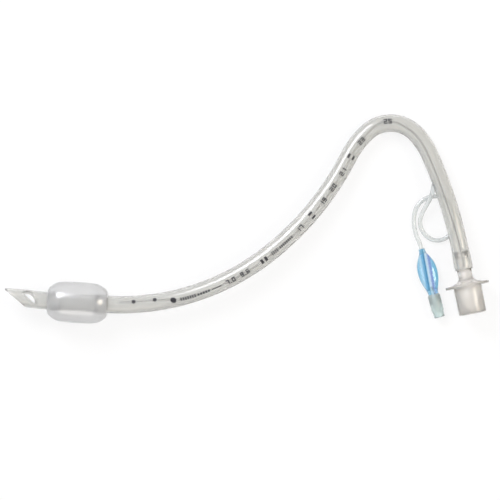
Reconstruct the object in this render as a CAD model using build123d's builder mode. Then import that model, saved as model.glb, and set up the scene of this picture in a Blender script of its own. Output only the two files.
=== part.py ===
from build123d import *
import os
from math import pi, radians, sin, tan

# Cuffed endotracheal tube, size 7.0, lying at rest. Lengths in mm, angles in degrees.
# The row's +X runs from the tip to the connector end, +Z is up from the surface it lies on, and the
# origin is under the middle of the tube, cuff and connector together.

# Tube
tube_bore = 7.0
tube_od = 9.6
tube_wall = (tube_od - tube_bore) / 2
bevel_angle = 41.0
bevel_blunt = 0.9

# Tube curve from tip to connector: the nose is hooded, the body has the usual long curve, and the
# soft top is bent over
tip_heading = 0.5
nose = (83.0, -9.0)
tip_curve = (121.0, 5.0)
cuff_run = 32.0
body_curve = (130.4, 41.9)
shaft_curve = (161.5, 24.7)
bend_entry = (45.0, -21.4)
bend = (19.0, -91.1)
bend_leaving = (45.0, -16.5)
leg_curve = (240.0, -13.1)
stub_run = 11.0

# Where it lies: on its cuff and on the top of its bend, with its own inflation line under the leg
tip_centre = (-132.4, -42.7, 11.06)
lying_tilt = -3.76

# Side eye, a half lens cut through both walls behind the bevel, narrower in the lower wall
eye_middle = (12.6, -1.3)
eye_upper = (9.3, 3.7)
eye_lower = (7.5, 2.1)
eye_step = 0.6
eye_slant = -42.0
eye_corner = 0.4

# Inflation lumen in the wall, and the two ports that open it
lumen_diameter = 0.7
lumen_radius = (tube_bore + tube_od) / 4
port_diameter = 0.9
line_exit_arc_share = 0.3

# Cuff, an inflated barrel of thin film
cuff_length = 33.0
cuff_film = 0.3
cuff_fold_radius = 0.6
cuff_shoulder = [(3.24, 45.0), (11.4, 41.5)]
collar_length = 6.5

# Connector: a 15 mm male cone with a taper of 1 in 40
cone_large = 15.47
cone_length = 15.2
cone_taper = 1 / 40
cone_rounding = 1.0
connector_bore = 11.5
connector_bore_length = 15.0
stub_diameter = 7.6
stub_bore = 5.6
stub_length = 10.0
neck_diameter = 8.0
neck_length = 4.0
flare_length = 5.3
wing_span = 24.0
wing_depth = 17.2
wing_tip_thickness = 1.1
flare_middle = (0.69, 0.3)
stub_chamfer = (0.6, 0.4)
throat_length = 4.0

# The tube's end, stretched over the stub
stretch = (stub_diameter - tube_bore) / 2
stretch_length = 4.0
stretch_seat = 0.4
stretch_cone = 1.0
end_taper = (2.0, 0.5)

# Inflation line
line_diameter = 2.4

# Pilot balloon, in line with the end of the inflation line
balloon_length = 25.6
balloon_width = 10.9
balloon_thickness = 6.2
balloon_film = 0.4
balloon_neck_diameter = 3.6
line_in_neck = 2.5
line_bore_length = 3.1
# Share of the length, width and thickness at each place from the neck to the tail
pouch = [
    (0.0, balloon_neck_diameter, balloon_neck_diameter),
    (0.10, 4.2, 3.8),
    (0.30, 9.2, 5.2),
    (0.52, balloon_width, balloon_thickness),
    (0.72, 9.6, 6.0),
    (0.90, 6.6, 5.6),
    (1.0, 5.6, 5.6),
]

# Check valve
valve_diameter = 6.8
valve_length = 13.2
valve_end_diameter = 6.0
valve_end_length = 3.0
valve_neck_diameter = 5.6
valve_edge = 0.6
valve_cone = 1.0
spigot_diameter = 4.4
spigot_length = 4.0
spigot_bore = 1.6
luer_mouth = 4.3
luer_taper = 0.06
luer_depth = 6.6
throat_diameter = 2.7
seat_thickness = 0.9
chamber_diameter = 4.9
plug_thickness = 1.0
stem_diameter = 2.6
stem_web = 0.8
plunger_neck = 1.6
stem_reach = 3.4
head_diameter = 3.4
head_thickness = 0.8
seal_diameter = 4.2
seal_thickness = 0.7
guide_diameter = 1.2
guide_length = 1.7
spring_wire = 0.3
spring_gap = 0.35
spring_turns = 4
spring_wire_sides = 6


def tangent_arcs(start, heading, curves, side=0.0):
    """Joins runs and arcs end to end; side moves the whole path that far to the left of its travel."""
    path = []
    point, direction = start, heading
    for radius, turn in curves:
        if turn == 0:
            piece = Line(point, point + direction * radius)
        else:
            offset = -side if turn > 0 else side
            piece = JernArc(point, direction, radius + offset, turn)
        path.append(piece)
        point, direction = piece @ 1, piece % 1
    return path


# The tilted plane that the whole tube lies in
lying = Plane(origin=tip_centre).rotated((lying_tilt, 0, 0))
up = lying.z_dir
tip_direction = lying.x_dir.rotate(Axis(lying.origin, up), tip_heading)

# Centreline
curves = [nose, tip_curve, (cuff_run, 0), body_curve, shaft_curve, bend_entry, bend, bend_leaving, leg_curve]
with BuildLine(lying) as centreline:
    axis_path = tangent_arcs(lying.origin, tip_direction, curves + [(stub_run, 0)])
cuff_line, leg_arc, stub_line = axis_path[2], axis_path[8], axis_path[9]
cuff_centre, cuff_direction = cuff_line @ 0.5, cuff_line % 0.5
cuff_side = up.cross(cuff_direction)
connector_start, connector_direction = stub_line @ 1, stub_line % 1

# Path of the inflation lumen, on the outer side of the long curve, from the cuff to the line's exit
lumen_curves = [(cuff_run / 2, 0), body_curve, shaft_curve, bend_entry, bend, bend_leaving]
leg_radius, leg_turn = leg_curve
with BuildLine(lying) as lumen_line:
    lumen_path = tangent_arcs(
        cuff_centre - cuff_side * lumen_radius,
        cuff_direction,
        lumen_curves + [(leg_radius, leg_turn * line_exit_arc_share)],
        side=-lumen_radius,
    )
lumen_end, lumen_end_direction = lumen_path[-1] @ 1, lumen_path[-1] % 1

# Inflation line, from inside the tube wall down to the surface, round and under the leg, to the balloon.
# Each point is X, Y and height.
line_route = [
    (102.5, 22.2, 6.9),
    (102.1, 18.6, 6.9),
    (101.4, 14.8, 6.5),
    (100.2, 11.2, 5.8),
    (97.9, 7.1, 4.2),
    (95.4, 2.4, 2.6),
    (94.3, -2.9, 1.4),
    (97.0, -8.5, 1.2),
    (101.7, -11.7, 1.2),
    (107.1, -11.7, 1.2),
    (111.7, -8.5, 1.2),
    (114.4, -3.1, 1.2),
    (114.4, 3.5, 1.2),
    (111.7, 9.2, 1.2),
    (107.1, 12.5, 1.2),
    (101.4, 12.7, 1.2),
    (95.8, 10.5, 1.2),
    (92.2, 5.8, 1.2),
    (91.3, -0.1, 1.2),
    (91.6, -5.0, 1.3),
    (92.8, -9.5, 2.0),
    (94.85, -13.97, 3.4),
    (96.13, -18.80, 3.4),
]
points = [Vector(*p) for p in line_route]
runs = [b - a for a, b in zip(points, points[1:])]
bends = []
for before, after in zip(runs, runs[1:]):
    half_turn = radians(before.get_angle(after)) / 2
    bends.append(0.45 * min(before.length, after.length) / tan(half_turn))
print("inflation line radii", [round(r, 1) for r in bends])

# Outside of the tube's leg, which trims the line to a long slanting joint over its port
with BuildPart() as leg_outside:
    with BuildSketch(Plane(origin=leg_arc @ 0, z_dir=leg_arc % 0)):
        Circle(tube_od / 2)
    sweep(path=leg_arc)

with BuildPart() as inflation_line:
    with BuildLine() as route:
        FilletPolyline(*points, radius=bends)
    with BuildSketch(Plane(origin=route.line @ 0, z_dir=route.line % 0)):
        Circle(line_diameter / 2)
    sweep()
    line_length = sum(piece.length for piece in route.edges())
    print("inflation line length", round(line_length, 1))
    print("volume by section", round(pi * line_diameter**2 / 4 * line_length, 1))
    print("volume of the solid", round(inflation_line.part.volume, 1))
    add(leg_outside.part, mode=Mode.SUBTRACT)
inflation_line.part.label = "inflation_line"

# Tube
with BuildPart() as tube:
    with BuildSketch(Plane(origin=centreline.line @ 0, x_dir=up, z_dir=tip_direction)):
        Circle(tube_od / 2)
        Circle(tube_bore / 2, mode=Mode.SUBTRACT)
    sweep(path=centreline.line)
    # The end stretched over the connector's stub
    with BuildSketch(Plane(origin=connector_start, x_dir=-connector_direction, z_dir=up)):
        outer, inner = tube_od / 2, tube_bore / 2
        wide_outer, wide_inner = outer + stretch, inner + stretch
        stretch_end = stub_run - stretch_length
        with BuildLine():
            Polyline(
                (stub_run, outer),
                (stub_run, inner),
                (stub_run - stretch_seat, inner),
                (stub_run - stretch_cone, wide_inner),
                (0, wide_inner),
                (0, wide_outer - end_taper[1]),
                (end_taper[0], wide_outer),
                (stretch_end, wide_outer),
            )
            Spline((stretch_end, wide_outer), (stub_run, outer), tangents=((1, 0), (1, 0)))
        make_face()
    revolve(axis=Axis(connector_start, connector_direction))
    with BuildSketch(Plane(origin=connector_start, z_dir=-connector_direction)):
        Circle(wide_inner)
    extrude(amount=stub_run - stretch_cone, mode=Mode.SUBTRACT)
    # The bevel, its plane square to the plane of the curve
    bevel_direction = tip_direction.rotate(Axis(lying.origin, up), -bevel_angle)
    bevel_point = lying.origin + up.cross(tip_direction) * (tube_od / 2 - bevel_blunt)
    split(bisect_by=Plane(origin=bevel_point, z_dir=up.cross(bevel_direction)), keep=Keep.TOP)
    # The side eye
    eye_x = lying.x_dir.rotate(Axis(lying.origin, up), eye_slant)
    eye_plane = Plane(origin=lying.from_local_coords((*eye_middle, 0)), x_dir=eye_x, z_dir=up)
    for (length, width), step, depth in ((eye_upper, 0, tube_od), (eye_lower, eye_step, -tube_od)):
        with BuildSketch(eye_plane):
            with BuildLine():
                Line((-length / 2, step), (length / 2, step))
                ThreePointArc((-length / 2, step), (0, step + width), (length / 2, step))
            make_face()
            fillet(vertices(), eye_corner)
        extrude(amount=depth, mode=Mode.SUBTRACT)
    # The inflation lumen and its two ports
    with BuildSketch(Plane(origin=lumen_line.line @ 0, z_dir=lumen_line.line % 0)):
        Circle(lumen_diameter / 2)
    sweep(path=lumen_line.line, mode=Mode.SUBTRACT)
    cuff_port = Plane(origin=lumen_line.line @ 0, z_dir=-cuff_side)
    line_port = Plane(origin=lumen_end, z_dir=lumen_end_direction.cross(up))
    with BuildSketch(cuff_port, line_port):
        Circle(port_diameter / 2)
    extrude(amount=tube_wall, mode=Mode.SUBTRACT)
tube.part.label = "tube"


def film_outline(inset):
    """Half of the cuff's section, from its collar's end over the fold and shoulder to the crown's top."""
    collar_end = Vector(cuff_length / 2 - cuff_fold_radius - collar_length, tube_od / 2 + inset)
    shoulder = [(collar_length, 0), (cuff_fold_radius, 90), *cuff_shoulder]
    side_path = tangent_arcs(collar_end, Vector(1, 0), shoulder, side=inset)
    crown_end, crown_heading = side_path[-1] @ 1, side_path[-1] % 1
    crown_turn = crown_heading.get_angle(Vector(-1, 0))
    crown = JernArc(crown_end, crown_heading, crown_end.X / sin(radians(crown_turn)), crown_turn)
    return collar_end, crown @ 1


# Cuff: collars turned in under the barrel's ends and bonded to the tube
with BuildPart() as cuff:
    with BuildSketch(Plane(origin=cuff_centre, x_dir=cuff_direction, z_dir=up)):
        with BuildLine():
            outer_collar, outer_top = film_outline(0)
            inner_collar, inner_top = film_outline(cuff_film)
            Line(outer_collar, inner_collar)
            Line(outer_top, inner_top)
        make_face()
        mirror(about=Plane.YZ)
    revolve(axis=Axis(cuff_centre, cuff_direction))
cuff.part.label = "cuff"

# Connector, drawn along its axis from the tube's end; the stub lies on the minus side
wing_face = neck_length + flare_length
mouth = wing_face + cone_length
cone_small = cone_large - cone_length * cone_taper
cone_bore_end = mouth - connector_bore_length
neck_end = (neck_length, neck_diameter / 2)
wing_edge = (wing_face - wing_tip_thickness, wing_span / 2)
flare_point = tuple(a + (b - a) * share for a, b, share in zip(neck_end, wing_edge, flare_middle))
with BuildPart() as connector:
    with BuildSketch(Plane(origin=connector_start, x_dir=connector_direction, z_dir=up)):
        with BuildLine():
            Polyline(
                (-stub_length, stub_bore / 2),
                (-stub_length, stub_diameter / 2 - stub_chamfer[1]),
                (-stub_length + stub_chamfer[0], stub_diameter / 2),
                (0, stub_diameter / 2),
                (0, neck_diameter / 2),
                neck_end,
            )
            Spline(neck_end, flare_point, wing_edge, tangents=((1, 0), (0, 1)))
            Polyline(
                wing_edge,
                (wing_face, wing_span / 2),
                (wing_face, cone_large / 2),
                (mouth, cone_small / 2),
                (mouth, connector_bore / 2),
                (cone_bore_end, connector_bore / 2),
            )
            TangentArc(
                (cone_bore_end, connector_bore / 2),
                (cone_bore_end - throat_length, stub_bore / 2),
                tangent=(-1, 0),
            )
            Line((cone_bore_end - throat_length, stub_bore / 2), (-stub_length, stub_bore / 2))
        make_face()
    revolve(axis=Axis(connector_start, connector_direction))
    mouth_edges = edges().filter_by(GeomType.CIRCLE).sort_by(Axis(connector_start, connector_direction))[-2:]
    fillet(mouth_edges.sort_by(Edge.radius)[-1], cone_rounding)
    # The flange is cut to two wings that lie in the plane of the curve
    wing_middle = connector_start + connector_direction * (neck_length + flare_length / 2)
    wing_plane = Plane(origin=wing_middle, x_dir=connector_direction, z_dir=up)
    for side in (1, -1):
        with BuildSketch(wing_plane.offset(side * (wing_depth / 2 + tube_od / 2))):
            Rectangle(flare_length + 0.02, wing_span + 2)
        extrude(amount=tube_od / 2, both=True, mode=Mode.SUBTRACT)
connector.part.label = "connector"

# Pilot balloon: a flattened pouch, round at its neck and at its tail
pilot_direction = runs[-1].normalized()
pilot_across = Vector(0, 0, 1).cross(pilot_direction)
neck_point = points[-1] - pilot_direction * line_in_neck
tail_point = neck_point + pilot_direction * balloon_length

with BuildPart() as pilot_balloon:
    for sections, inset, mode in ((pouch, 0, Mode.ADD), (pouch[1:-1], balloon_film, Mode.SUBTRACT)):
        for share, width, thickness in sections:
            middle = neck_point + pilot_direction * (balloon_length * share)
            with BuildSketch(Plane(origin=middle, x_dir=pilot_across, z_dir=pilot_direction)):
                if width == thickness:
                    Circle(width / 2 - inset)
                else:
                    Ellipse(width / 2 - inset, thickness / 2 - inset)
        loft(mode=mode)
    with BuildSketch(Plane(origin=neck_point, z_dir=pilot_direction)):
        Circle(line_diameter / 2)
    extrude(amount=line_bore_length, mode=Mode.SUBTRACT)
    with BuildSketch(Plane(origin=tail_point, z_dir=-pilot_direction)):
        Circle(spigot_diameter / 2)
    extrude(amount=spigot_length, mode=Mode.SUBTRACT)
pilot_balloon.part.label = "pilot_balloon"

# Check valve, drawn along its axis from its mouth at 0 back towards the balloon
mouth_point = tail_point + pilot_direction * valve_length
valve_plane = Plane(origin=mouth_point, x_dir=-pilot_direction, z_dir=(0, 0, 1))
luer_bottom = luer_mouth - luer_depth * luer_taper
chamber_start = luer_depth + seat_thickness
chamber_end = valve_length - plug_thickness
edge_start = (0, valve_end_diameter / 2 - valve_edge)
edge_end = (valve_edge, valve_end_diameter / 2)
with BuildPart() as valve_body:
    with BuildSketch(valve_plane):
        with BuildLine():
            Line((0, luer_mouth / 2), edge_start)
            TangentArc(edge_start, edge_end, tangent=(0, 1))
            Polyline(
                edge_end,
                (valve_end_length, valve_end_diameter / 2),
                (valve_end_length + valve_cone, valve_diameter / 2),
                (valve_length - valve_cone, valve_diameter / 2),
                (valve_length, valve_neck_diameter / 2),
                (valve_length, chamber_diameter / 2),
                (chamber_start, chamber_diameter / 2),
                (chamber_start, throat_diameter / 2),
                (luer_depth, throat_diameter / 2),
                (luer_depth, luer_bottom / 2),
                (0, luer_mouth / 2),
            )
        make_face()
    revolve(axis=Axis(mouth_point, -pilot_direction))
valve_body.part.label = "valve_body"


def across_valve(depth):
    """The plane square to the valve's axis, that deep from the mouth and facing the balloon."""
    return Plane(origin=mouth_point - pilot_direction * depth, x_dir=(0, 0, 1), z_dir=-pilot_direction)


# Plug that closes the chamber, with the spigot that the balloon's tail is bonded to
with BuildPart() as valve_plug:
    with BuildSketch(across_valve(chamber_end)):
        Circle(chamber_diameter / 2)
    extrude(amount=plug_thickness)
    with BuildSketch(across_valve(valve_length)):
        Circle(spigot_diameter / 2)
    extrude(amount=spigot_length)
    with BuildSketch(across_valve(chamber_end)):
        Circle(spigot_bore / 2)
    extrude(amount=plug_thickness + spigot_length, mode=Mode.SUBTRACT)
valve_plug.part.label = "valve_plug"

# Plunger: cross-shaped stem in the luer socket, head and rear guide pin in the chamber
head_start = chamber_start + seal_thickness
head_end = head_start + head_thickness
with BuildPart() as valve_plunger:
    with BuildSketch(across_valve(stem_reach)):
        Circle(stem_diameter / 2)
        with GridLocations(stem_diameter, stem_diameter, 2, 2):
            Rectangle(stem_diameter - stem_web, stem_diameter - stem_web, mode=Mode.SUBTRACT)
    extrude(amount=chamber_start - stem_reach)
    with BuildSketch(across_valve(chamber_start)):
        Circle(plunger_neck / 2)
    extrude(amount=seal_thickness)
    with BuildSketch(across_valve(head_start)):
        Circle(head_diameter / 2)
    extrude(amount=head_thickness)
    with BuildSketch(across_valve(head_end)):
        Circle(guide_diameter / 2)
    extrude(amount=guide_length)
valve_plunger.part.label = "valve_plunger"

with BuildPart() as valve_seal:
    with BuildSketch(across_valve(chamber_start)):
        Circle(seal_diameter / 2)
        Circle(plunger_neck / 2, mode=Mode.SUBTRACT)
    extrude(amount=seal_thickness)
valve_seal.part.label = "valve_seal"

# Spring between the head and the chamber's end wall
coil_length = chamber_end - head_end - spring_wire
coil_radius = guide_diameter / 2 + spring_wire + spring_gap
with BuildPart() as valve_spring:
    helix = Helix(coil_length / spring_turns, coil_length, coil_radius)
    coil = across_valve(head_end + spring_wire / 2) * helix
    with BuildSketch(Plane(origin=coil @ 0, z_dir=coil % 0)):
        RegularPolygon(spring_wire / 2, spring_wire_sides)
    sweep(path=coil, is_frenet=True)
valve_spring.part.label = "valve_spring"

os.makedirs("parts", exist_ok=True)
export_step(tube.part, "parts/tube.step")
export_step(cuff.part, "parts/cuff.step")
export_step(connector.part, "parts/connector.step")
export_step(inflation_line.part, "parts/inflation_line.step")
export_step(pilot_balloon.part, "parts/pilot_balloon.step")
export_step(valve_body.part, "parts/valve_body.step")
export_step(valve_plug.part, "parts/valve_plug.step")
export_step(valve_plunger.part, "parts/valve_plunger.step")
export_step(valve_seal.part, "parts/valve_seal.step")
export_step(valve_spring.part, "parts/valve_spring.step")
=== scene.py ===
"""Dresses the cuffed endotracheal tube, prints its scale, winds its valve spring and lays its line."""

import logging
import math
from dataclasses import dataclass, field
from enum import Enum
from typing import Any

import bpy
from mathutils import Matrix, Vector

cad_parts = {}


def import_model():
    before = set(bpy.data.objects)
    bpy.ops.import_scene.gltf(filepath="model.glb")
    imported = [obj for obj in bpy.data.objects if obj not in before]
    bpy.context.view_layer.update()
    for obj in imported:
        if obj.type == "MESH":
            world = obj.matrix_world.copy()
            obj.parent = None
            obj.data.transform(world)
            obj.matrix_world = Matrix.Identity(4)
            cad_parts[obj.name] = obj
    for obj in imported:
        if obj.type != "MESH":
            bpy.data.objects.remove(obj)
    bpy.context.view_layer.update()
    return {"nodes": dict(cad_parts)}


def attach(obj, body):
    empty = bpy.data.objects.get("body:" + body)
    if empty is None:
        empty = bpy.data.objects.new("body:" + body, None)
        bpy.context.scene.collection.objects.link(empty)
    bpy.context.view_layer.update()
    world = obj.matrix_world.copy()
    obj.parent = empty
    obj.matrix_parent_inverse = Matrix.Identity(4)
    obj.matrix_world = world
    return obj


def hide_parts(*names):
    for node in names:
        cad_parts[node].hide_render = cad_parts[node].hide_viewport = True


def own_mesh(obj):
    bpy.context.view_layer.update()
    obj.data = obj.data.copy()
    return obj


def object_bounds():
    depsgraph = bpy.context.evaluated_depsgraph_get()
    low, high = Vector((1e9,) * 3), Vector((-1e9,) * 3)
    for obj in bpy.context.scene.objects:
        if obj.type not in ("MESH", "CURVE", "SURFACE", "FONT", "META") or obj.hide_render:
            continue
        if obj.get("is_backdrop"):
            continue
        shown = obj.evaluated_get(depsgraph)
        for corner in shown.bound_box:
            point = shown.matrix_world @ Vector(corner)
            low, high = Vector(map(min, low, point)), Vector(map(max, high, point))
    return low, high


log = logging.getLogger("endotracheal_tube")

MM = 0.001

# The rigid body that every piece made here rides on
TUBE_BODY = "tube"

# Directions in which the cuff, the stub in the tube's stretched end, and the balloon and valve lie
CUFF_AXIS = (0.99813, -0.06092, 0.0040)
STUB_AXIS = (0.1908, -0.9795, 0.0644)
PILOT_AXIS = (0.2562, -0.9666, 0.0)


class Light(Enum):
    """The studio's lamps, each with its power in watts."""

    KEY = 12.0
    SIDE = 5.0
    LOW = 1.5


# Colour and node helpers


def linear(hex_colour: str) -> tuple[float, float, float, float]:
    """Turns an sRGB hex colour to linear RGBA.

    Args:
        hex_colour: six hex digits, with or without a leading hash.

    Returns:
        Red, green, blue and an alpha of 1.
    """
    digits = hex_colour.lstrip("#")
    parts = []
    for start in (0, 2, 4):
        value = int(digits[start : start + 2], 16) / 255
        parts.append(value / 12.92 if value <= 0.04045 else ((value + 0.055) / 1.055) ** 2.4)
    return (parts[0], parts[1], parts[2], 1.0)


def add_node(
    tree: bpy.types.NodeTree, kind: str, links: dict[str | int, Any] | None = None, **settings: Any
) -> bpy.types.Node:
    """Adds one node with its settings and links.

    Args:
        tree: the node tree that gets the node.
        kind: the node's Blender type name.
        links: input name or index to an output socket that feeds it, or to a plain value for that input.
        settings: attributes of the node itself.

    Returns:
        The new node.
    """
    node = tree.nodes.new(kind)
    for name, value in settings.items():
        setattr(node, name, value)
    for name, value in (links or {}).items():
        if isinstance(value, bpy.types.NodeSocket):
            tree.links.new(value, node.inputs[name])
        else:
            node.inputs[name].default_value = value
    return node


def empty_material(name: str) -> bpy.types.Material:
    """Makes a material with no nodes in it.

    Args:
        name: the material's name.

    Returns:
        The material.
    """
    material = bpy.data.materials.new(name)
    material.use_nodes = True
    material.node_tree.nodes.clear()
    return material


def offset_from(tree: bpy.types.NodeTree, middle_mm: tuple[float, float, float]) -> bpy.types.NodeSocket:
    """Adds the nodes that measure from a fixed place on the object.

    Args:
        tree: the material's node tree.
        middle_mm: the place to measure from.

    Returns:
        A socket with the way from that place to the shaded point, in metres.
    """
    place = add_node(tree, "ShaderNodeTexCoord")
    middle = tuple(value * MM for value in middle_mm)
    ends = {0: place.outputs["Object"], 1: middle}
    offset = add_node(tree, "ShaderNodeVectorMath", ends, operation="SUBTRACT")
    return offset.outputs["Vector"]


# Finishes


@dataclass(frozen=True)
class Bond:
    """A round joint between two plastics, where light passes without an edge, so their surfaces vanish."""

    middle_mm: tuple[float, float, float]
    axis: tuple[float, float, float]
    half_length_mm: float
    radius_mm: float
    # How far from the radius a surface still belongs to the joint
    spread_mm: float = 0.08

    def mask(self, tree: bpy.types.NodeTree) -> bpy.types.NodeSocket:
        """Adds the nodes that find the joint's surface.

        Args:
            tree: the material's node tree.

        Returns:
            A socket that is 1 on the joint and 0 elsewhere.
        """
        offset = offset_from(tree, self.middle_mm)
        along = add_node(tree, "ShaderNodeVectorMath", {0: offset, 1: self.axis}, operation="DOT_PRODUCT")
        across = add_node(tree, "ShaderNodeVectorMath", {0: offset, 1: self.axis}, operation="CROSS_PRODUCT")
        radius = add_node(tree, "ShaderNodeVectorMath", {0: across.outputs["Vector"]}, operation="LENGTH")
        in_length = add_node(
            tree,
            "ShaderNodeMath",
            {0: along.outputs["Value"], 1: 0.0, 2: self.half_length_mm * MM},
            operation="COMPARE",
        )
        in_ring = add_node(
            tree,
            "ShaderNodeMath",
            {0: radius.outputs["Value"], 1: self.radius_mm * MM, 2: self.spread_mm * MM},
            operation="COMPARE",
        )
        both = add_node(
            tree, "ShaderNodeMath", {0: in_length.outputs[0], 1: in_ring.outputs[0]}, operation="MULTIPLY"
        )
        return both.outputs[0]


@dataclass(frozen=True)
class PaintedLightBands:
    """Bands of colour that run the length of a film pouch, across its width: its own blue tint, with a
    painted highlight and painted shade where its folds catch and lose the light.
    """

    middle_mm: tuple[float, float, float]
    across: tuple[float, float, float]
    width_mm: float
    bands: tuple[tuple[float, str], ...]

    def colour(self, tree: bpy.types.NodeTree) -> bpy.types.NodeSocket:
        """Adds the nodes that colour the pouch across its width.

        Args:
            tree: the material's node tree.

        Returns:
            The colour socket.
        """
        both = {0: offset_from(tree, self.middle_mm), 1: self.across}
        sideways = add_node(tree, "ShaderNodeVectorMath", both, operation="DOT_PRODUCT")
        share = add_node(
            tree,
            "ShaderNodeMath",
            {0: sideways.outputs["Value"], 1: 1 / (self.width_mm * MM), 2: 0.5},
            operation="MULTIPLY_ADD",
        )
        ramp = add_node(tree, "ShaderNodeValToRGB", {"Fac": share.outputs[0]})
        ramp.color_ramp.interpolation = "EASE"
        while len(ramp.color_ramp.elements) < len(self.bands):
            ramp.color_ramp.elements.new(0.5)
        for element, (position, colour) in zip(ramp.color_ramp.elements, self.bands):
            element.position = position
            element.color = linear(colour)
        return ramp.outputs["Color"]


@dataclass(frozen=True)
class Plastic:
    """A moulded or extruded plastic with some milk in it, from clear to opaque."""

    name: str
    colour: str
    roughness: float
    ior: float
    clearness: float
    milk: float = 0.0
    milk_depth_mm: float = 1.0
    # How far red, green and blue light run in the milk, as shares of its depth
    milk_reach: tuple[float, float, float] = (1.0, 0.95, 0.9)
    # What a thick run of it takes out of the light, and how much of it in a millimetre
    depth_colour: str = "#FFFFFF"
    depth_per_mm: float = 0.0
    # Width and height of the slight waves that a mould or die leaves on the surface
    haze_width_mm: float = 0.0
    haze_height_mm: float = 0.0
    haze_detail: float = 3.0
    haze_strength: float = 0.4
    gloss: float = 0.0
    gloss_roughness: float = 0.06
    # Bands of painted highlight and painted shade across a pouch, over its own tint
    painted_light_bands: PaintedLightBands | None = None
    bonds: tuple[Bond, ...] = ()

    def build(self) -> bpy.types.Material:
        """Makes the material.

        Returns:
            A material with the plastic's colour, gloss and clearness, and its slight surface haze.
        """
        material = empty_material(self.name)
        tree = material.node_tree
        shader = add_node(
            tree,
            "ShaderNodeBsdfPrincipled",
            {
                "Base Color": linear(self.colour),
                "Roughness": self.roughness,
                "IOR": self.ior,
                "Transmission Weight": self.clearness,
                "Subsurface Weight": self.milk,
                "Subsurface Radius": self.milk_reach,
                "Subsurface Scale": self.milk_depth_mm * MM,
                "Coat Weight": self.gloss,
                "Coat Roughness": self.gloss_roughness,
            },
        )
        if self.haze_width_mm > 0:
            place = add_node(tree, "ShaderNodeTexCoord")
            scale = 1 / (self.haze_width_mm * MM)
            waves = {"Vector": place.outputs["Object"], "Scale": scale, "Detail": self.haze_detail}
            noise = add_node(tree, "ShaderNodeTexNoise", waves)
            rise = {
                "Height": noise.outputs["Fac"],
                "Strength": self.haze_strength,
                "Distance": self.haze_height_mm * MM,
            }
            bump = add_node(tree, "ShaderNodeBump", rise)
            tree.links.new(bump.outputs["Normal"], shader.inputs["Normal"])
        # The pouch's tint with its painted highlight and painted shade takes the place of the base colour
        if self.painted_light_bands:
            tree.links.new(self.painted_light_bands.colour(tree), shader.inputs["Base Color"])
        surface = shader.outputs["BSDF"]
        for bond in self.bonds:
            clear = add_node(tree, "ShaderNodeBsdfTransparent")
            parts = {0: bond.mask(tree), 1: surface, 2: clear.outputs["BSDF"]}
            joint = add_node(tree, "ShaderNodeMixShader", parts)
            surface = joint.outputs["Shader"]
        output = add_node(tree, "ShaderNodeOutputMaterial", {"Surface": surface})
        if self.depth_per_mm > 0:
            inside = add_node(
                tree,
                "ShaderNodeVolumeAbsorption",
                {"Color": linear(self.depth_colour), "Density": self.depth_per_mm / MM},
            )
            tree.links.new(inside.outputs["Volume"], output.inputs["Volume"])
        return material


# Where pieces are bonded or pressed together: middle, direction, half of the length, and radius
TIP_COLLAR = Bond((-105.566, -44.910, 11.210), CUFF_AXIS, half_length_mm=3.25, radius_mm=4.8)
REAR_COLLAR = Bond((-80.314, -46.451, 11.310), CUFF_AXIS, half_length_mm=3.25, radius_mm=4.8)
STUB_IN_TUBE = Bond((117.488, -22.639, 9.741), STUB_AXIS, half_length_mm=5.3, radius_mm=3.6, spread_mm=0.42)
LINE_IN_NECK = Bond((95.81, -17.59, 3.4), PILOT_AXIS, half_length_mm=1.25, radius_mm=1.2)
SPIGOT_IN_TAIL = Bond((101.538, -39.197, 3.4), PILOT_AXIS, half_length_mm=2.0, radius_mm=2.2)
PLUG_IN_HOUSING = Bond((102.178, -41.613, 3.4), PILOT_AXIS, half_length_mm=0.5, radius_mm=2.45)

# Plasticised PVC, extruded and heat-formed: smooth and faintly milky, greyer where the wall is seen edge-on
SOFT_PVC = Plastic(
    name="plasticised_pvc_extruded",
    colour="#F0F0ED",
    roughness=0.06,
    ior=1.53,
    clearness=0.8,
    milk=0.3,
    milk_depth_mm=2.0,
    depth_colour="#CFCFCC",
    depth_per_mm=0.16,
    haze_width_mm=6.0,
    haze_height_mm=0.02,
    bonds=(TIP_COLLAR, REAR_COLLAR, STUB_IN_TUBE),
)

# Polyurethane film, blow-moulded: thin and cloudy, so the tube inside looks soft and the gloss is broad
CUFF_FILM = Plastic(
    name="cuff_film_blow_moulded",
    colour="#FBFBFB",
    roughness=0.21,
    ior=1.49,
    clearness=0.87,
    milk=0.2,
    depth_colour="#CFCFD1",
    depth_per_mm=0.35,
    haze_width_mm=5.0,
    haze_height_mm=0.01,
    gloss=1.0,
    gloss_roughness=0.24,
    bonds=(TIP_COLLAR, REAR_COLLAR),
)

# Polypropylene, injection moulded: frosted by its mould, so it is greyer and duller than the tube
FROSTED_PP = Plastic(
    name="polypropylene_moulded",
    colour="#F7F5F2",
    roughness=0.16,
    ior=1.49,
    clearness=0.78,
    milk=0.3,
    milk_depth_mm=2.0,
    depth_colour="#DCD8CC",
    depth_per_mm=0.06,
    haze_width_mm=2.0,
    haze_height_mm=0.01,
    bonds=(STUB_IN_TUBE,),
)

# Thin PVC hose, extruded: milky white with a tight bright highlight
LINE_PVC = Plastic(
    name="pvc_hose_extruded",
    colour="#F9FBFA",
    roughness=0.12,
    ior=1.53,
    clearness=0.7,
    milk=0.3,
    depth_colour="#D5DBDB",
    depth_per_mm=0.3,
    haze_width_mm=3.0,
    haze_height_mm=0.01,
    bonds=(LINE_IN_NECK,),
)
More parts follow.
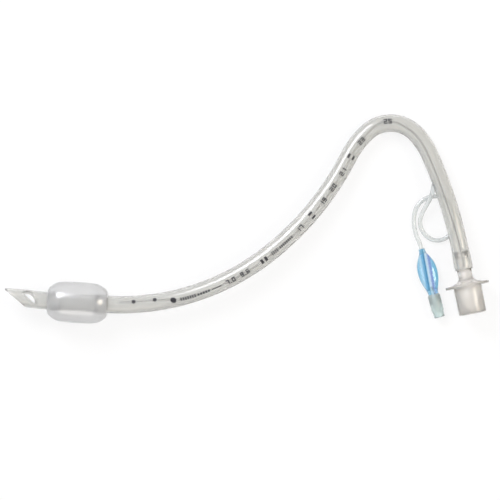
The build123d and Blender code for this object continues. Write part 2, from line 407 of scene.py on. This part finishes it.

# Tinted PVC film, welded into a pouch: light blue and glossy, with bands of painted highlight and painted
# shade along its length
BLUE_FILM = Plastic(
    name="pvc_film_blue_welded",
    colour="#D3F1FE",
    roughness=0.1,
    ior=1.53,
    clearness=0.88,
    milk=0.15,
    depth_colour="#A5DDF8",
    depth_per_mm=0.4,
    haze_width_mm=4.0,
    haze_height_mm=0.03,
    painted_light_bands=PaintedLightBands(
        middle_mm=(98.8, -28.8, 3.4),
        across=(0.984, 0.177, 0.0),
        width_mm=10.9,
        # The whites are a painted highlight, the dark teal and violet are painted shade, and the pale blues
        # are the film's own tint
        bands=(
            (0.0, "#B9E6F8"),
            (0.24, "#E4F6FE"),
            (0.36, "#A9DAF1"),
            (0.44, "#74BFDC"),
            (0.5, "#F3FBFF"),
            (0.57, "#F0F8FF"),
            (0.66, "#BCCCF2"),
            (0.8, "#C2EAFA"),
            (1.0, "#A4E2F3"),
        ),
    ),
    bonds=(LINE_IN_NECK, SPIGOT_IN_TAIL),
)

# Clear ABS, injection moulded: pale green-grey and glossy
CLEAR_ABS = Plastic(
    name="clear_abs_moulded",
    colour="#EEFAF9",
    roughness=0.14,
    ior=1.54,
    clearness=0.74,
    milk=0.2,
    depth_colour="#B4E0D8",
    depth_per_mm=0.04,
    haze_width_mm=2.0,
    haze_height_mm=0.01,
    bonds=(SPIGOT_IN_TAIL, PLUG_IN_HOUSING),
)

# Acetal, injection moulded: opaque white with a dull sheen
WHITE_ACETAL = Plastic(name="acetal_moulded", colour="#F1F0EA", roughness=0.35, ior=1.48, clearness=0.0)

# Silicone rubber seal, moulded: pale blue-grey and matte
SEAL_RUBBER = Plastic(
    name="silicone_rubber_moulded", colour="#C3D3D8", roughness=0.5, ior=1.41, clearness=0.2
)

# Print ink on PVC, pad printed: matte near-black
PRINT_INK = Plastic(name="print_ink_black", colour="#26262B", roughness=0.55, ior=1.5, clearness=0.0)

# Soft grey line painted along the tube's top, where its highlight gives way to shade: painted shade
SHADE_LINE_GREY = Plastic(
    name="painted_shade_line_grey", colour="#8E8D8A", roughness=0.3, ior=1.53, clearness=0.3
)


@dataclass(frozen=True)
class SpringSteel:
    """Stainless steel, drawn to wire: a bright metal whose drawn surface blurs what it mirrors."""

    name: str = "stainless_wire_drawn"
    colour: str = "#C9CACC"
    roughness: float = 0.3

    def build(self) -> bpy.types.Material:
        """Makes the material.

        Returns:
            A material with the metal's colour and sheen.
        """
        material = empty_material(self.name)
        tree = material.node_tree
        shader = add_node(
            tree,
            "ShaderNodeBsdfPrincipled",
            {"Base Color": linear(self.colour), "Roughness": self.roughness, "Metallic": 1.0},
        )
        add_node(tree, "ShaderNodeOutputMaterial", {"Surface": shader.outputs["BSDF"]})
        return material


# Geometry helpers


def dress(
    node: bpy.types.Object, material: bpy.types.Material, crease_deg: float = 35.0, weld_mm: float = 0.002
) -> None:
    """Gives a CAD node its material and smooth shading.

    Args:
        node: the imported CAD object.
        material: what it is made of.
        crease_deg: edges sharper than this stay sharp.
        weld_mm: corners closer than this count as one, so that the shading runs across them.
    """
    node.data.materials.clear()
    node.data.materials.append(material)
    weld = node.modifiers.new("weld", "WELD")
    weld.merge_threshold = weld_mm * MM
    node.data.polygons.foreach_set("use_smooth", [True] * len(node.data.polygons))
    node.data.set_sharp_from_angle(angle=math.radians(crease_deg))


def mesh_object(
    name: str,
    points: list[Vector],
    faces: list[tuple[int, ...]],
    material: bpy.types.Material,
) -> bpy.types.Object:
    """Makes one smooth mesh piece that rides on the tube's body.

    Args:
        name: the piece's name.
        points: vertices in metres, in the row's frame.
        faces: vertex numbers of each face.
        material: what the piece is made of.

    Returns:
        The new object.
    """
    mesh = bpy.data.meshes.new(name)
    mesh.from_pydata(points, [], faces)
    mesh.materials.append(material)
    mesh.polygons.foreach_set("use_smooth", [True] * len(mesh.polygons))
    mesh.update()
    piece = bpy.data.objects.new(name, mesh)
    bpy.context.scene.collection.objects.link(piece)
    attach(piece, TUBE_BODY)
    log.info("%s: %d faces", name, len(faces))
    return piece


@dataclass(frozen=True)
class Station:
    """A place on the tube's centreline, with the directions across the tube there, in the row's frame."""

    point: Vector
    left: Vector
    up: Vector

    def on_surface(self, angle_deg: float, radius_mm: float) -> Vector:
        """Finds a point beside the axis.

        Args:
            angle_deg: the turn from the top towards the left of travel.
            radius_mm: the distance from the axis.

        Returns:
            The point.
        """
        angle = math.radians(angle_deg)
        outward = self.up * math.cos(angle) + self.left * math.sin(angle)
        return self.point + outward * (radius_mm * MM)


@dataclass(frozen=True)
class Course:
    """The tube's centreline, runs and arcs joined from the tip, in the plane that the tube lies in."""

    tip_mm: tuple[float, float, float] = (-132.4, -42.7, 11.06)
    heading_deg: float = 0.5
    tilt_deg: float = -3.76
    # Radius and turn in degrees of each arc, left being positive, or a straight run's length and no turn
    curves: tuple[tuple[float, float], ...] = (
        (83.0, -9.0),
        (121.0, 5.0),
        (32.0, 0.0),
        (130.4, 41.9),
        (161.5, 24.7),
        (45.0, -21.4),
        (19.0, -91.1),
        (45.0, -16.5),
        (240.0, -13.1),
        (11.0, 0.0),
    )

    def station(self, distance_mm: float) -> Station:
        """Finds the place at a distance from the tip.

        Args:
            distance_mm: the distance along the centreline.

        Returns:
            The station there.
        """
        x, y, heading = 0.0, 0.0, math.radians(self.heading_deg)
        left = distance_mm
        for radius, turn in self.curves:
            length = radius * math.radians(abs(turn)) if turn else radius
            used = min(left, length)
            if turn:
                swing = math.copysign(used / radius, turn)
                side = math.copysign(radius, turn)
                x += side * (math.sin(heading + swing) - math.sin(heading))
                y -= side * (math.cos(heading + swing) - math.cos(heading))
                heading += swing
            else:
                x += used * math.cos(heading)
                y += used * math.sin(heading)
            left -= used
            if left <= 0:
                break
        tilt = math.radians(self.tilt_deg)
        plane_y = Vector((0.0, math.cos(tilt), math.sin(tilt)))
        plane_up = Vector((0.0, -math.sin(tilt), math.cos(tilt)))
        plane_x = Vector((1.0, 0.0, 0.0))
        point = (Vector(self.tip_mm) + plane_x * x + plane_y * y) * MM
        along = plane_x * math.cos(heading) + plane_y * math.sin(heading)
        return Station(point, plane_up.cross(along), plane_up)


# Sub-assemblies


@dataclass(frozen=True)
class BarRow:
    """A row of equal printed bars, in millimetres from the tip."""

    start: float
    end: float
    pitch: float
    length: float
    height: float


@dataclass
class PrintedScale:
    """The print on the tube: dots, bars and plain depth numbers, and a soft grey line of painted shade along
    it.
    """

    course: Course
    surface_mm: float = 4.8
    ink_lift_mm: float = 0.03
    # The line of painted shade: how far it lies over the tube, where it starts and ends, and its width
    shade_line_lift_mm: float = 0.01
    shade_line_start_mm: float = 62.0
    shade_line_end_mm: float = 345.0
    shade_line_width_mm: float = 0.5
    # Largest length and width of one face of the print
    cell_length_mm: float = 0.5
    cell_width_mm: float = 0.4
    digit_height_mm: float = 2.8
    digit_width_mm: float = 1.9
    stroke_mm: float = 0.65
    digit_gap_mm: float = 0.5
    # Distance from the tip and angle from the top, for the line that the print follows
    track: tuple[tuple[float, float], ...] = (
        (0.0, 15.0),
        (83.0, 15.0),
        (94.0, -14.0),
        (100.0, -19.0),
        (232.0, -16.0),
        (249.0, 9.0),
        (262.0, -12.0),
        (300.0, -14.0),
        (345.0, 0.0),
    )
    # Distance from the tip and the number printed there: the two sizes in mm, then depths in cm
    numbers: tuple[tuple[float, str], ...] = (
        (125.0, "7.0"),
        (133.8, "9.6"),
        (172.2, "17"),
        (191.5, "19"),
        (200.8, "20"),
        (210.8, "21"),
        (230.8, "23"),
        (249.5, "25"),
    )
    # Distance from the tip and radius of each dot
    dots: tuple[tuple[float, float], ...] = ((70.5, 1.1), (82.2, 1.1), (92.2, 1.6))
    dot_corners: int = 20
    dot_rings: int = 4
    # Rows of plain bars
    bars: tuple[BarRow, ...] = (
        BarRow(start=96.0, end=104.0, pitch=1.3, length=0.75, height=1.9),
        BarRow(start=105.6, end=113.0, pitch=1.5, length=1.0, height=1.3),
        BarRow(start=113.8, end=119.0, pitch=6.0, length=5.6, height=0.5),
        BarRow(start=144.2, end=147.2, pitch=2.6, length=1.5, height=2.6),
        BarRow(start=151.6, end=155.0, pitch=1.1, length=0.6, height=2.2),
        BarRow(start=157.0, end=166.4, pitch=1.2, length=0.7, height=1.6),
    )
    # Middle of each pair of short bars, which lie either side of the print line
    pairs: tuple[float, ...] = (181.8, 220.2)
    pair_rise_mm: float = 1.4
    pair_half_length_mm: float = 1.3
    pair_half_height_mm: float = 0.6
    # The strokes that make each digit, named round it from the top, with the middle one and the point last
    segments: dict[str, str] = field(
        default_factory=lambda: {
            "0": "abcdef",
            "1": "bc",
            "2": "abged",
            "3": "abgcd",
            "5": "afgcd",
            "6": "afgedc",
            "7": "abc",
            "9": "abfgcd",
            ".": "p",
        }
    )

    def track_angle(self, distance_mm: float) -> float:
        """Finds where the print line is on the tube.

        Args:
            distance_mm: the distance from the tip.

        Returns:
            The line's angle from the top, in degrees.
        """
        for (near, near_angle), (far, far_angle) in zip(self.track, self.track[1:]):
            if distance_mm <= far:
                share = (distance_mm - near) / (far - near)
                share = share * share * (3 - 2 * share)
                return near_angle + (far_angle - near_angle) * share
        return self.track[-1][1]

    def place(self, distance_mm: float, rise_mm: float, lift_mm: float) -> Vector:
        """A point over the tube, that far from the tip and that far to the left of the print line."""
        angle = self.track_angle(distance_mm) + math.degrees(rise_mm / self.surface_mm)
        return self.course.station(distance_mm).on_surface(angle, self.surface_mm + lift_mm)

    def stroke(
        self,
        points: list[Vector],
        faces: list[tuple[int, ...]],
        start: tuple[float, float],
        end: tuple[float, float],
        lift_mm: float | None = None,
    ) -> None:
        """Adds one printed rectangle, laid round the tube.

        Args:
            points: the mesh's vertices so far.
            faces: the mesh's faces so far.
            start: distance and rise of one corner, in mm.
            end: distance and rise of the opposite corner, in mm.
            lift_mm: how far it lies over the tube, or none for the ink's own.
        """
        lift = self.ink_lift_mm if lift_mm is None else lift_mm
        steps_along = max(1, round(abs(end[0] - start[0]) / self.cell_length_mm))
        steps_across = max(1, round(abs(end[1] - start[1]) / self.cell_width_mm))
        first = len(points)
        for i in range(steps_along + 1):
            distance = start[0] + (end[0] - start[0]) * i / steps_along
            for j in range(steps_across + 1):
                rise = start[1] + (end[1] - start[1]) * j / steps_across
                points.append(self.place(distance, rise, lift))
        row = steps_across + 1
        for i in range(steps_along):
            for j in range(steps_across):
                a = first + i * row + j
                faces.append((a, a + row, a + row + 1, a + 1))

    def digit(self, points: list[Vector], faces: list[tuple[int, ...]], mark: str, middle: float) -> None:
        """Adds one digit, built of straight strokes.

        Args:
            points: the mesh's vertices so far.
            faces: the mesh's faces so far.
            mark: the digit.
            middle: the distance of its middle from the tip, in mm.
        """
        half_w, half_h, pen = self.digit_width_mm / 2, self.digit_height_mm / 2, self.stroke_mm
        left, right = middle - half_w, middle + half_w
        boxes = {
            "a": ((left, half_h - pen), (right, half_h)),
            "b": ((right - pen, 0.0), (right, half_h)),
            "c": ((right - pen, -half_h), (right, 0.0)),
            "d": ((left, -half_h), (right, -half_h + pen)),
            "e": ((left, -half_h), (left + pen, 0.0)),
            "f": ((left, 0.0), (left + pen, half_h)),
            "g": ((left, -pen / 2), (right, pen / 2)),
            "p": ((middle - pen / 2, -half_h), (middle + pen / 2, -half_h + pen)),
        }
        for name in self.segments[mark]:
            start, end = boxes[name]
            self.stroke(points, faces, start, end)

    def number(self, points: list[Vector], faces: list[tuple[int, ...]], text: str, middle: float) -> None:
        """Adds one number, with a narrow place for its decimal point.

        Args:
            points: the mesh's vertices so far.
            faces: the mesh's faces so far.
            text: its digits.
            middle: the distance of its middle from the tip, in mm.
        """
        widths = [self.stroke_mm if mark == "." else self.digit_width_mm for mark in text]
        at = middle - (sum(widths) + self.digit_gap_mm * (len(text) - 1)) / 2
        for mark, width in zip(text, widths):
            self.digit(points, faces, mark, at + width / 2)
            at += width + self.digit_gap_mm

    def dot(self, points: list[Vector], faces: list[tuple[int, ...]], middle: float, radius: float) -> None:
        """Adds one round dot, in rings that follow the tube.

        Args:
            points: the mesh's vertices so far.
            faces: the mesh's faces so far.
            middle: the distance of its middle from the tip, in mm.
            radius: its radius in mm.
        """
        first = len(points)
        points.append(self.place(middle, 0.0, self.ink_lift_mm))
        for ring in range(1, self.dot_rings + 1):
            reach = radius * ring / self.dot_rings
            for i in range(self.dot_corners):
                turn = 2 * math.pi * i / self.dot_corners
                along, rise = reach * math.cos(turn), reach * math.sin(turn)
                points.append(self.place(middle + along, rise, self.ink_lift_mm))
        for i in range(self.dot_corners):
            after = (i + 1) % self.dot_corners
            faces.append((first, first + 1 + i, first + 1 + after))
            for ring in range(self.dot_rings - 1):
                inner = first + 1 + ring * self.dot_corners
                outer = inner + self.dot_corners
                faces.append((inner + i, outer + i, outer + after, inner + after))

    def build_marks(self, ink: bpy.types.Material) -> bpy.types.Object:
        """Builds the whole print as one piece.

        Args:
            ink: the print's material.

        Returns:
            The print.
        """
        points: list[Vector] = []
        faces: list[tuple[int, ...]] = []
        for middle, radius in self.dots:
            self.dot(points, faces, middle, radius)
        for middle, text in self.numbers:
            self.number(points, faces, text, middle)
        for row in self.bars:
            for i in range(int((row.end - row.start) / row.pitch) + 1):
                at = row.start + i * row.pitch
                self.stroke(points, faces, (at, -row.height / 2), (at + row.length, row.height / 2))
        half_length, half_height = self.pair_half_length_mm, self.pair_half_height_mm
        for middle in self.pairs:
            for rise in (-self.pair_rise_mm, self.pair_rise_mm):
                corner = (middle - half_length, rise - half_height)
                self.stroke(points, faces, corner, (middle + half_length, rise + half_height))
        return mesh_object("printed_scale", points, faces, ink)

    def build_shade_line(self, shade_line_material: bpy.types.Material) -> bpy.types.Object:
        """Builds the line of painted shade that runs along the tube under the print line.

        Args:
            shade_line_material: the material of the painted shade.

        Returns:
            The line of painted shade.
        """
        points: list[Vector] = []
        faces: list[tuple[int, ...]] = []
        start = (self.shade_line_start_mm, -self.shade_line_width_mm / 2)
        end = (self.shade_line_end_mm, self.shade_line_width_mm / 2)
        self.stroke(points, faces, start, end, self.shade_line_lift_mm)
        return mesh_object("painted_shade_line", points, faces, shade_line_material)


@dataclass
class CoilSpring:
    """The spring behind the valve's head, which shortens as the plunger goes in."""

    # The middle of the first turn, next to the plunger's head
    start_mm: tuple[float, float, float] = (103.0847, -45.0444, 3.4)
    radius_mm: float = 1.25
    rise_mm: float = 2.9
    wire_mm: float = 0.3
    turns: int = 4
    travel_mm: float = 1.2
    steps_a_turn: int = 24
    sides: int = 8

    def build(self, material: bpy.types.Material) -> bpy.types.Object:
        """Winds the wire and hides the CAD spring in its place.

        Args:
            material: what the wire is made of.

        Returns:
            The spring.
        """
        points: list[Vector] = []
        faces: list[tuple[int, ...]] = []
        up = Vector((0.0, 0.0, 1.0))
        along = -Vector(PILOT_AXIS)
        side = along.cross(up)
        rings = self.turns * self.steps_a_turn + 1
        for ring in range(rings):
            share = ring / (rings - 1)
            turn = 2 * math.pi * self.turns * share
            outward = up * math.cos(turn) + side * math.sin(turn)
            middle = Vector(self.start_mm) + along * (self.rise_mm * share) + outward * self.radius_mm
            for corner in range(self.sides):
                angle = 2 * math.pi * corner / self.sides
                spoke = outward * math.cos(angle) + along * math.sin(angle)
                points.append((middle + spoke * (self.wire_mm / 2)) * MM)
        for ring in range(rings - 1):
            for corner in range(self.sides):
                after = (corner + 1) % self.sides
                a, b = ring * self.sides + corner, ring * self.sides + after
                faces.append((a, b, b + self.sides, a + self.sides))
        faces.append(tuple(range(self.sides)))
        faces.append(tuple(reversed(range((rings - 1) * self.sides, rings * self.sides))))
        spring = mesh_object("coil_spring", points, faces, material)
        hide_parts("valve_spring")
        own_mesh(spring)
        return spring


@dataclass
class InflationLine:
    """The free hose from the tube's wall to the pilot balloon."""

    diameter_m: float = 0.0024
    length_m: float = 0.1167
    # The solid's own route, in metres: out of the wall, one loop on the surface, and into the balloon's neck
    route: tuple[tuple[float, float, float], ...] = (
        (0.1025, 0.0222, 0.0069),
        (0.1021, 0.0186, 0.0069),
        (0.1014, 0.0148, 0.0065),
        (0.1002, 0.0112, 0.0058),
        (0.0979, 0.0071, 0.0042),
        (0.0954, 0.0024, 0.0026),
        (0.0943, -0.0029, 0.0014),
        (0.0970, -0.0085, 0.0012),
        (0.1017, -0.0117, 0.0012),
        (0.1071, -0.0117, 0.0012),
        (0.1117, -0.0085, 0.0012),
        (0.1144, -0.0031, 0.0012),
        (0.1144, 0.0035, 0.0012),
        (0.1117, 0.0092, 0.0012),
        (0.1071, 0.0125, 0.0012),
        (0.1014, 0.0127, 0.0012),
        (0.0958, 0.0105, 0.0012),
        (0.0922, 0.0058, 0.0012),
        (0.0913, -0.0001, 0.0012),
        (0.0916, -0.0050, 0.0013),
        (0.0928, -0.0095, 0.0020),
        (0.09485, -0.01397, 0.0034),
        (0.09613, -0.01880, 0.0034),
    )

    def build(self, material: bpy.types.Material, with_pieces: list[bpy.types.Object]) -> bpy.types.Object:
        """Args:
            material: what the hose is made of.
            with_pieces: the pieces at its far end; not used.

        Returns:
            The hose.
        """
        curve = bpy.data.curves.new("inflation_hose", "CURVE")
        curve.dimensions = "3D"
        curve.bevel_depth = self.diameter_m / 2
        curve.bevel_resolution = 5
        curve.resolution_u = 10
        curve.use_fill_caps = True
        spline = curve.splines.new("NURBS")
        spline.points.add(len(self.route) - 1)
        for point, place in zip(spline.points, self.route):
            point.co = (*place, 1.0)
        spline.order_u = 3
        spline.use_endpoint_u = True
        curve.materials.append(material)
        hose = bpy.data.objects.new("inflation_hose", curve)
        bpy.context.scene.collection.objects.link(hose)
        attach(hose, TUBE_BODY)
        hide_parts("inflation_line")
        log.info("inflation_hose: %d route points", len(self.route))
        return hose


@dataclass
class Studio:
    """The pale floor, the soft lamps, the white surroundings and the camera above."""

    frame_px: float = 500.0
    scale_mm_per_px: float = 0.547
    middle_mm: tuple[float, float] = (1.37, -16.96)
    camera_height_m: float = 2.0
    object_middle_m: float = 0.010
    sensor_mm: float = 36.0
    clip_end_m: float = 20.0
    floor_reach_m: float = 3.0
    # How much of the floor is lit of itself, so that it shows white and still takes a shadow
    floor_glow: float = 0.84
    # How strongly the surroundings light the object
    soft_light: float = 0.75
    paper_colour: str = "#EDEDED"
    surroundings_colour: str = "#F4F5F7"
    white: str = "#FFFFFF"

    def build_floor(self) -> None:
        """Makes the floor, which lights up white for the camera and keeps the object's soft shadow."""
        material = empty_material("paper_sweep_matte")
        tree = material.node_tree
        path = add_node(tree, "ShaderNodeLightPath")
        seen = add_node(
            tree,
            "ShaderNodeMath",
            {0: path.outputs["Is Camera Ray"], 1: path.outputs["Is Glossy Ray"]},
            operation="MAXIMUM",
        )
        shown = add_node(
            tree,
            "ShaderNodeMath",
            {0: seen.outputs[0], 1: path.outputs["Is Transmission Ray"]},
            operation="MAXIMUM",
        )
        paper = add_node(tree, "ShaderNodeBsdfDiffuse", {"Color": linear(self.paper_colour)})
        light = {"Color": linear(self.white), "Strength": shown.outputs[0]}
        glow = add_node(tree, "ShaderNodeEmission", light)
        lifted = add_node(
            tree,
            "ShaderNodeMixShader",
            {0: self.floor_glow, 1: paper.outputs["BSDF"], 2: glow.outputs["Emission"]},
        )
        add_node(tree, "ShaderNodeOutputMaterial", {"Surface": lifted.outputs["Shader"]})
        reach = self.floor_reach_m
        mesh = bpy.data.meshes.new("floor")
        corners = [(-reach, -reach, 0.0), (reach, -reach, 0.0), (reach, reach, 0.0), (-reach, reach, 0.0)]
        mesh.from_pydata(corners, [], [(0, 1, 2, 3)])
        mesh.materials.append(material)
        floor = bpy.data.objects.new("floor", mesh)
        bpy.context.scene.collection.objects.link(floor)
        floor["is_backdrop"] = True

    def build_world(self) -> None:
        """Makes the surroundings: white where they show, and a softer grey where they light the object."""
        world = bpy.data.worlds.new("white_surroundings")
        world.use_nodes = True
        tree = world.node_tree
        tree.nodes.clear()
        path = add_node(tree, "ShaderNodeLightPath")
        seen = add_node(
            tree,
            "ShaderNodeMath",
            {0: path.outputs["Is Camera Ray"], 1: path.outputs["Is Transmission Ray"]},
            operation="MAXIMUM",
        )
        light = {"Color": linear(self.surroundings_colour), "Strength": self.soft_light}
        soft = add_node(tree, "ShaderNodeBackground", light)
        white = add_node(tree, "ShaderNodeBackground", {"Color": linear(self.white), "Strength": 1.0})
        both = add_node(
            tree,
            "ShaderNodeMixShader",
            {0: seen.outputs[0], 1: soft.outputs["Background"], 2: white.outputs["Background"]},
        )
        add_node(tree, "ShaderNodeOutputWorld", {"Surface": both.outputs["Shader"]})
        bpy.context.scene.world = world

    def add_lamp(self, light: Light, place: tuple[float, float, float], size: float, colour: str) -> None:
        """Adds one soft box that faces the object.

        Args:
            light: which light it is.
            place: its position in metres.
            size: its width in metres.
            colour: its sRGB hex colour.
        """
        data = bpy.data.lights.new(light.name.lower(), "AREA")
        data.energy = light.value
        data.shape = "DISK"
        data.size = size
        data.color = linear(colour)[:3]
        lamp = bpy.data.objects.new(light.name.lower(), data)
        lamp.location = place
        lamp.rotation_mode = "QUATERNION"
        lamp.rotation_quaternion = (-Vector(place)).to_track_quat("-Z", "Y")
        bpy.context.scene.collection.objects.link(lamp)

    def build_lamps(self) -> None:
        """Places the lamps."""
        self.add_lamp(Light.KEY, place=(-0.55, 0.75, 0.85), size=0.7, colour="#F7F8FF")
        self.add_lamp(Light.SIDE, place=(0.9, 0.1, 0.75), size=0.5, colour="#FFF2DC")
        self.add_lamp(Light.LOW, place=(-0.2, -1.0, 0.6), size=0.6, colour="#FFF8EE")

    def build_camera(self) -> None:
        """Hangs the camera straight above the object."""
        data = bpy.data.cameras.new("camera")
        data.sensor_width = self.sensor_mm
        view_width = self.frame_px * self.scale_mm_per_px * MM
        data.lens = self.sensor_mm * self.camera_height_m / view_width
        data.clip_end = self.clip_end_m
        camera = bpy.data.objects.new("camera", data)
        height = self.camera_height_m + self.object_middle_m
        camera.location = (self.middle_mm[0] * MM, self.middle_mm[1] * MM, height)
        bpy.context.scene.collection.objects.link(camera)
        bpy.context.scene.camera = camera

    def build(self) -> None:
        """Builds the whole studio."""
        bpy.context.scene.view_settings.view_transform = "Standard"
        self.build_floor()
        self.build_world()
        self.build_lamps()
        self.build_camera()
        log.info("studio built")


@dataclass
class Dressing:
    """The finish of each CAD node, apart from the line and the spring, which are laid and wound here."""

    nodes: dict[str, bpy.types.Object]

    def build(self) -> None:
        """Dresses every CAD node that shows."""
        finishes: dict[str, Plastic] = {
            "tube": SOFT_PVC,
            "cuff": CUFF_FILM,
            "connector": FROSTED_PP,
            "pilot_balloon": BLUE_FILM,
            "valve_body": CLEAR_ABS,
            "valve_plug": CLEAR_ABS,
            "valve_plunger": WHITE_ACETAL,
            "valve_seal": SEAL_RUBBER,
        }
        made: dict[str, bpy.types.Material] = {}
        for name, finish in finishes.items():
            if finish.name not in made:
                made[finish.name] = finish.build()
            dress(self.nodes[name], made[finish.name])
            log.info("%s: %s", name, finish.name)


def corners() -> list[list[float]]:
    """The shown object's lowest and highest corner as plain lists."""
    return [list(corner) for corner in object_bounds()]


def main() -> None:
    """Builds the classes in order and reports each piece."""
    logging.basicConfig(level=logging.INFO, format="%(name)s: %(message)s")
    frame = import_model()
    nodes = frame["nodes"]
    Dressing(nodes).build()
    scale = PrintedScale(Course())
    scale.build_marks(PRINT_INK.build())
    # A soft grey line of painted shade along the tube's top
    scale.build_shade_line(SHADE_LINE_GREY.build())
    spring = CoilSpring().build(SpringSteel().build())
    far_nodes = ["pilot_balloon", "valve_body", "valve_plug", "valve_plunger", "valve_seal"]
    InflationLine().build(LINE_PVC.build(), [*(nodes[name] for name in far_nodes), spring])
    Studio().build()


if __name__ == "__main__":
    main()
